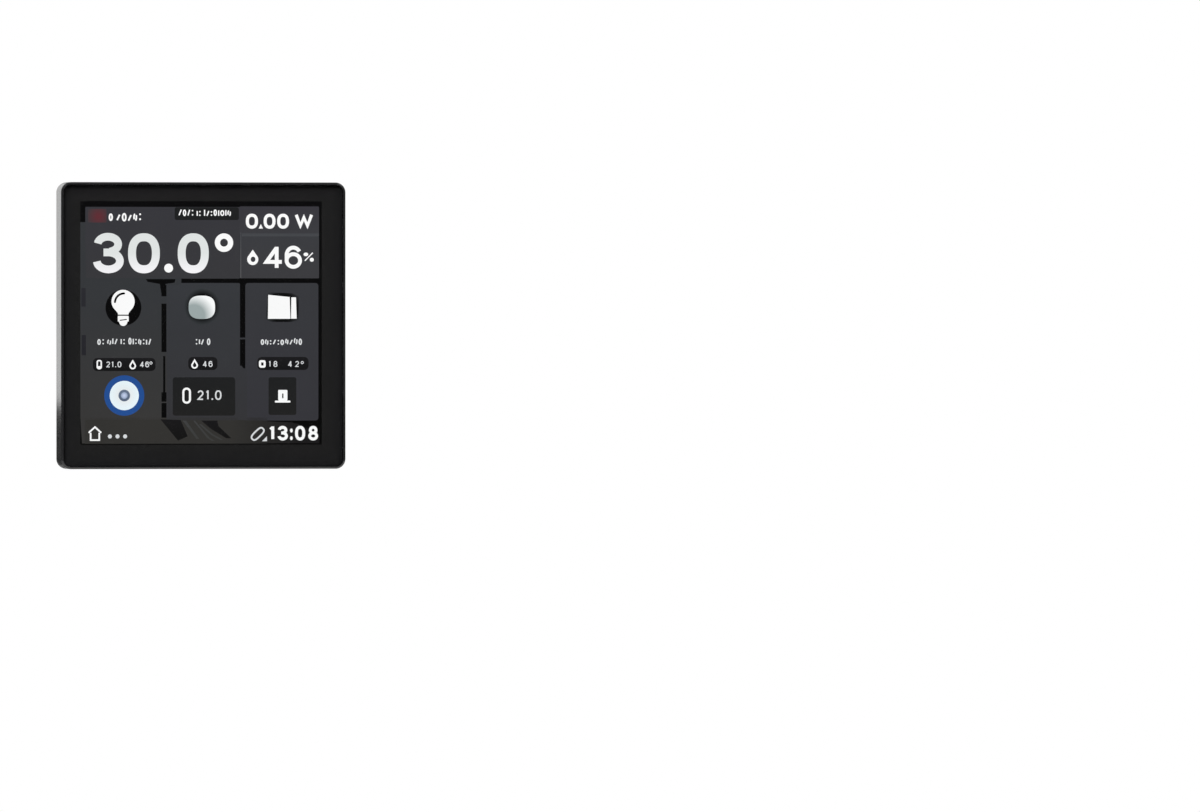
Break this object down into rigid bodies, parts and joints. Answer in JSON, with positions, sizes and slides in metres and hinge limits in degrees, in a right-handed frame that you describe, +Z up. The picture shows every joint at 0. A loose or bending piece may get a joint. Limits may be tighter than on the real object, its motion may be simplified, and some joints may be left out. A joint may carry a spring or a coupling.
{
  "type": "smart home touch panel",
  "caption": "Square wall panel with a black glass touch screen in a slim frame, clipped to a steel wall plate that carries a mains module with screw terminals.",
  "frame": {"origin": "middle of the back of the wall plate, on the wall's surface", "axes": "+X to the right and +Z up as seen from the room, +Y into the wall"},
  "size_m": [0.086, 0.042, 0.086],
  "materials": {
    "frame_plastic": "fine satin",
    "cover_glass": "polished",
    "black_tape": "matt",
    "clear_adhesive": "clear",
    "screen_glass": "polished",
    "chip_black": "moulded",
    "pressed_steel": "rolled",
    "clear_acrylic": "clear",
    "lamp_strip": "satin",
    "flex_film": "satin",
    "circuit_board": "lacquered",
    "connector_plastic": "moulded",
    "ceramic_part": "fired",
    "ferrite": "sintered",
    "copper_winding": "taped",
    "gold_pin": "plated",
    "zinc_steel": "plated",
    "spring_steel": "polished",
    "cover_plastic": "fine grain",
    "white_plastic": "moulded",
    "module_plastic": "fine grain",
    "capacitor_can": "sleeved",
    "relay_case": "moulded",
    "varistor_coat": "lacquered",
    "terminal_plastic": "moulded",
    "tinned_copper": "tinned"
  },
  "bodies": {
    "wall_base": {"wall_plate": "zinc_steel", "retaining_clips": "spring_steel", "module_screws": "zinc_steel", "power_lid": "module_plastic", "power_housing": "module_plastic", "power_board": "circuit_board", "socket_connector": "connector_plastic", "transformer_core": "ferrite", "transformer_winding": "copper_winding", "bulk_capacitors": "capacitor_can", "output_capacitors": "capacitor_can", "relay": "relay_case", "input_fuse": "ceramic_part", "surge_varistor": "varistor_coat", "power_chips": "chip_black", "terminal_block": "terminal_plastic", "terminal_tongues": "tinned_copper"},
    "display_unit": {"front_frame": "frame_plastic", "cover_glass": "cover_glass", "glass_tape": "black_tape", "optical_adhesive": "clear_adhesive", "lcd_cell": "screen_glass", "display_driver": "chip_black", "backlight_tray": "pressed_steel", "light_guide": "clear_acrylic", "backlight_leds": "lamp_strip", "lcd_flex": "flex_film", "touch_flex": "flex_film", "flex_connectors": "connector_plastic", "main_board": "circuit_board", "processor_chip": "chip_black", "memory_chips": "chip_black", "board_inductors": "ferrite", "board_capacitors": "ceramic_part", "climate_sensor": "chip_black", "radio_module": "pressed_steel", "wifi_antenna": "gold_pin", "reset_switch": "connector_plastic", "header_plug": "connector_plastic", "header_pins": "gold_pin", "board_screws": "zinc_steel", "rear_cover": "cover_plastic"},
    "reset_plunger": {"reset_plunger": "white_plastic"},
    "terminal_screw_1": {"terminal_screw_1": "zinc_steel"},
    "terminal_cage_1": {"terminal_cage_1": "spring_steel"},
    "terminal_screw_2": {"terminal_screw_2": "zinc_steel"},
    "terminal_cage_2": {"terminal_cage_2": "spring_steel"},
    "terminal_screw_3": {"terminal_screw_3": "zinc_steel"},
    "terminal_cage_3": {"terminal_cage_3": "spring_steel"},
    "terminal_screw_4": {"terminal_screw_4": "zinc_steel"},
    "terminal_cage_4": {"terminal_cage_4": "spring_steel"}
  },
  "joints": [
    {"name": "display_pull", "type": "slide", "parent": "wall_base", "child": "display_unit", "axis": [0, -1, 0], "range_m": [0, 0.02], "deforming": ["retaining_clips"]},
    {"name": "reset_press", "type": "slide", "parent": "display_unit", "child": "reset_plunger", "axis": [0, 0, 1], "range_m": [0, 0.0003], "stiffness_N_per_m": 600, "springref_m": -0.0005},
    {"name": "screw_turn_1", "type": "hinge", "parent": "wall_base", "child": "terminal_screw_1", "pos_m": [-0.0099, 0.0255, -0.019], "axis": [0, -1, 0], "range_deg": [0, 1800]},
    {"name": "cage_rise_1", "type": "slide", "parent": "wall_base", "child": "terminal_cage_1", "axis": [0, 1, 0], "range_m": [0, 0.0025]},
    {"name": "screw_turn_2", "type": "hinge", "parent": "wall_base", "child": "terminal_screw_2", "pos_m": [-0.0033, 0.0255, -0.019], "axis": [0, -1, 0], "range_deg": [0, 1800]},
    {"name": "cage_rise_2", "type": "slide", "parent": "wall_base", "child": "terminal_cage_2", "axis": [0, 1, 0], "range_m": [0, 0.0025]},
    {"name": "screw_turn_3", "type": "hinge", "parent": "wall_base", "child": "terminal_screw_3", "pos_m": [0.0033, 0.0255, -0.019], "axis": [0, -1, 0], "range_deg": [0, 1800]},
    {"name": "cage_rise_3", "type": "slide", "parent": "wall_base", "child": "terminal_cage_3", "axis": [0, 1, 0], "range_m": [0, 0.0025]},
    {"name": "screw_turn_4", "type": "hinge", "parent": "wall_base", "child": "terminal_screw_4", "pos_m": [0.0099, 0.0255, -0.019], "axis": [0, -1, 0], "range_deg": [0, 1800]},
    {"name": "cage_rise_4", "type": "slide", "parent": "wall_base", "child": "terminal_cage_4", "axis": [0, 1, 0], "range_m": [0, 0.0025]}
  ],
  "couplings": [
    {"joint": "screw_turn_1", "follows": "cage_rise_1", "rad_per_m": 12566},
    {"joint": "screw_turn_2", "follows": "cage_rise_2", "rad_per_m": 12566},
    {"joint": "screw_turn_3", "follows": "cage_rise_3", "rad_per_m": 12566},
    {"joint": "screw_turn_4", "follows": "cage_rise_4", "rad_per_m": 12566}
  ]
}
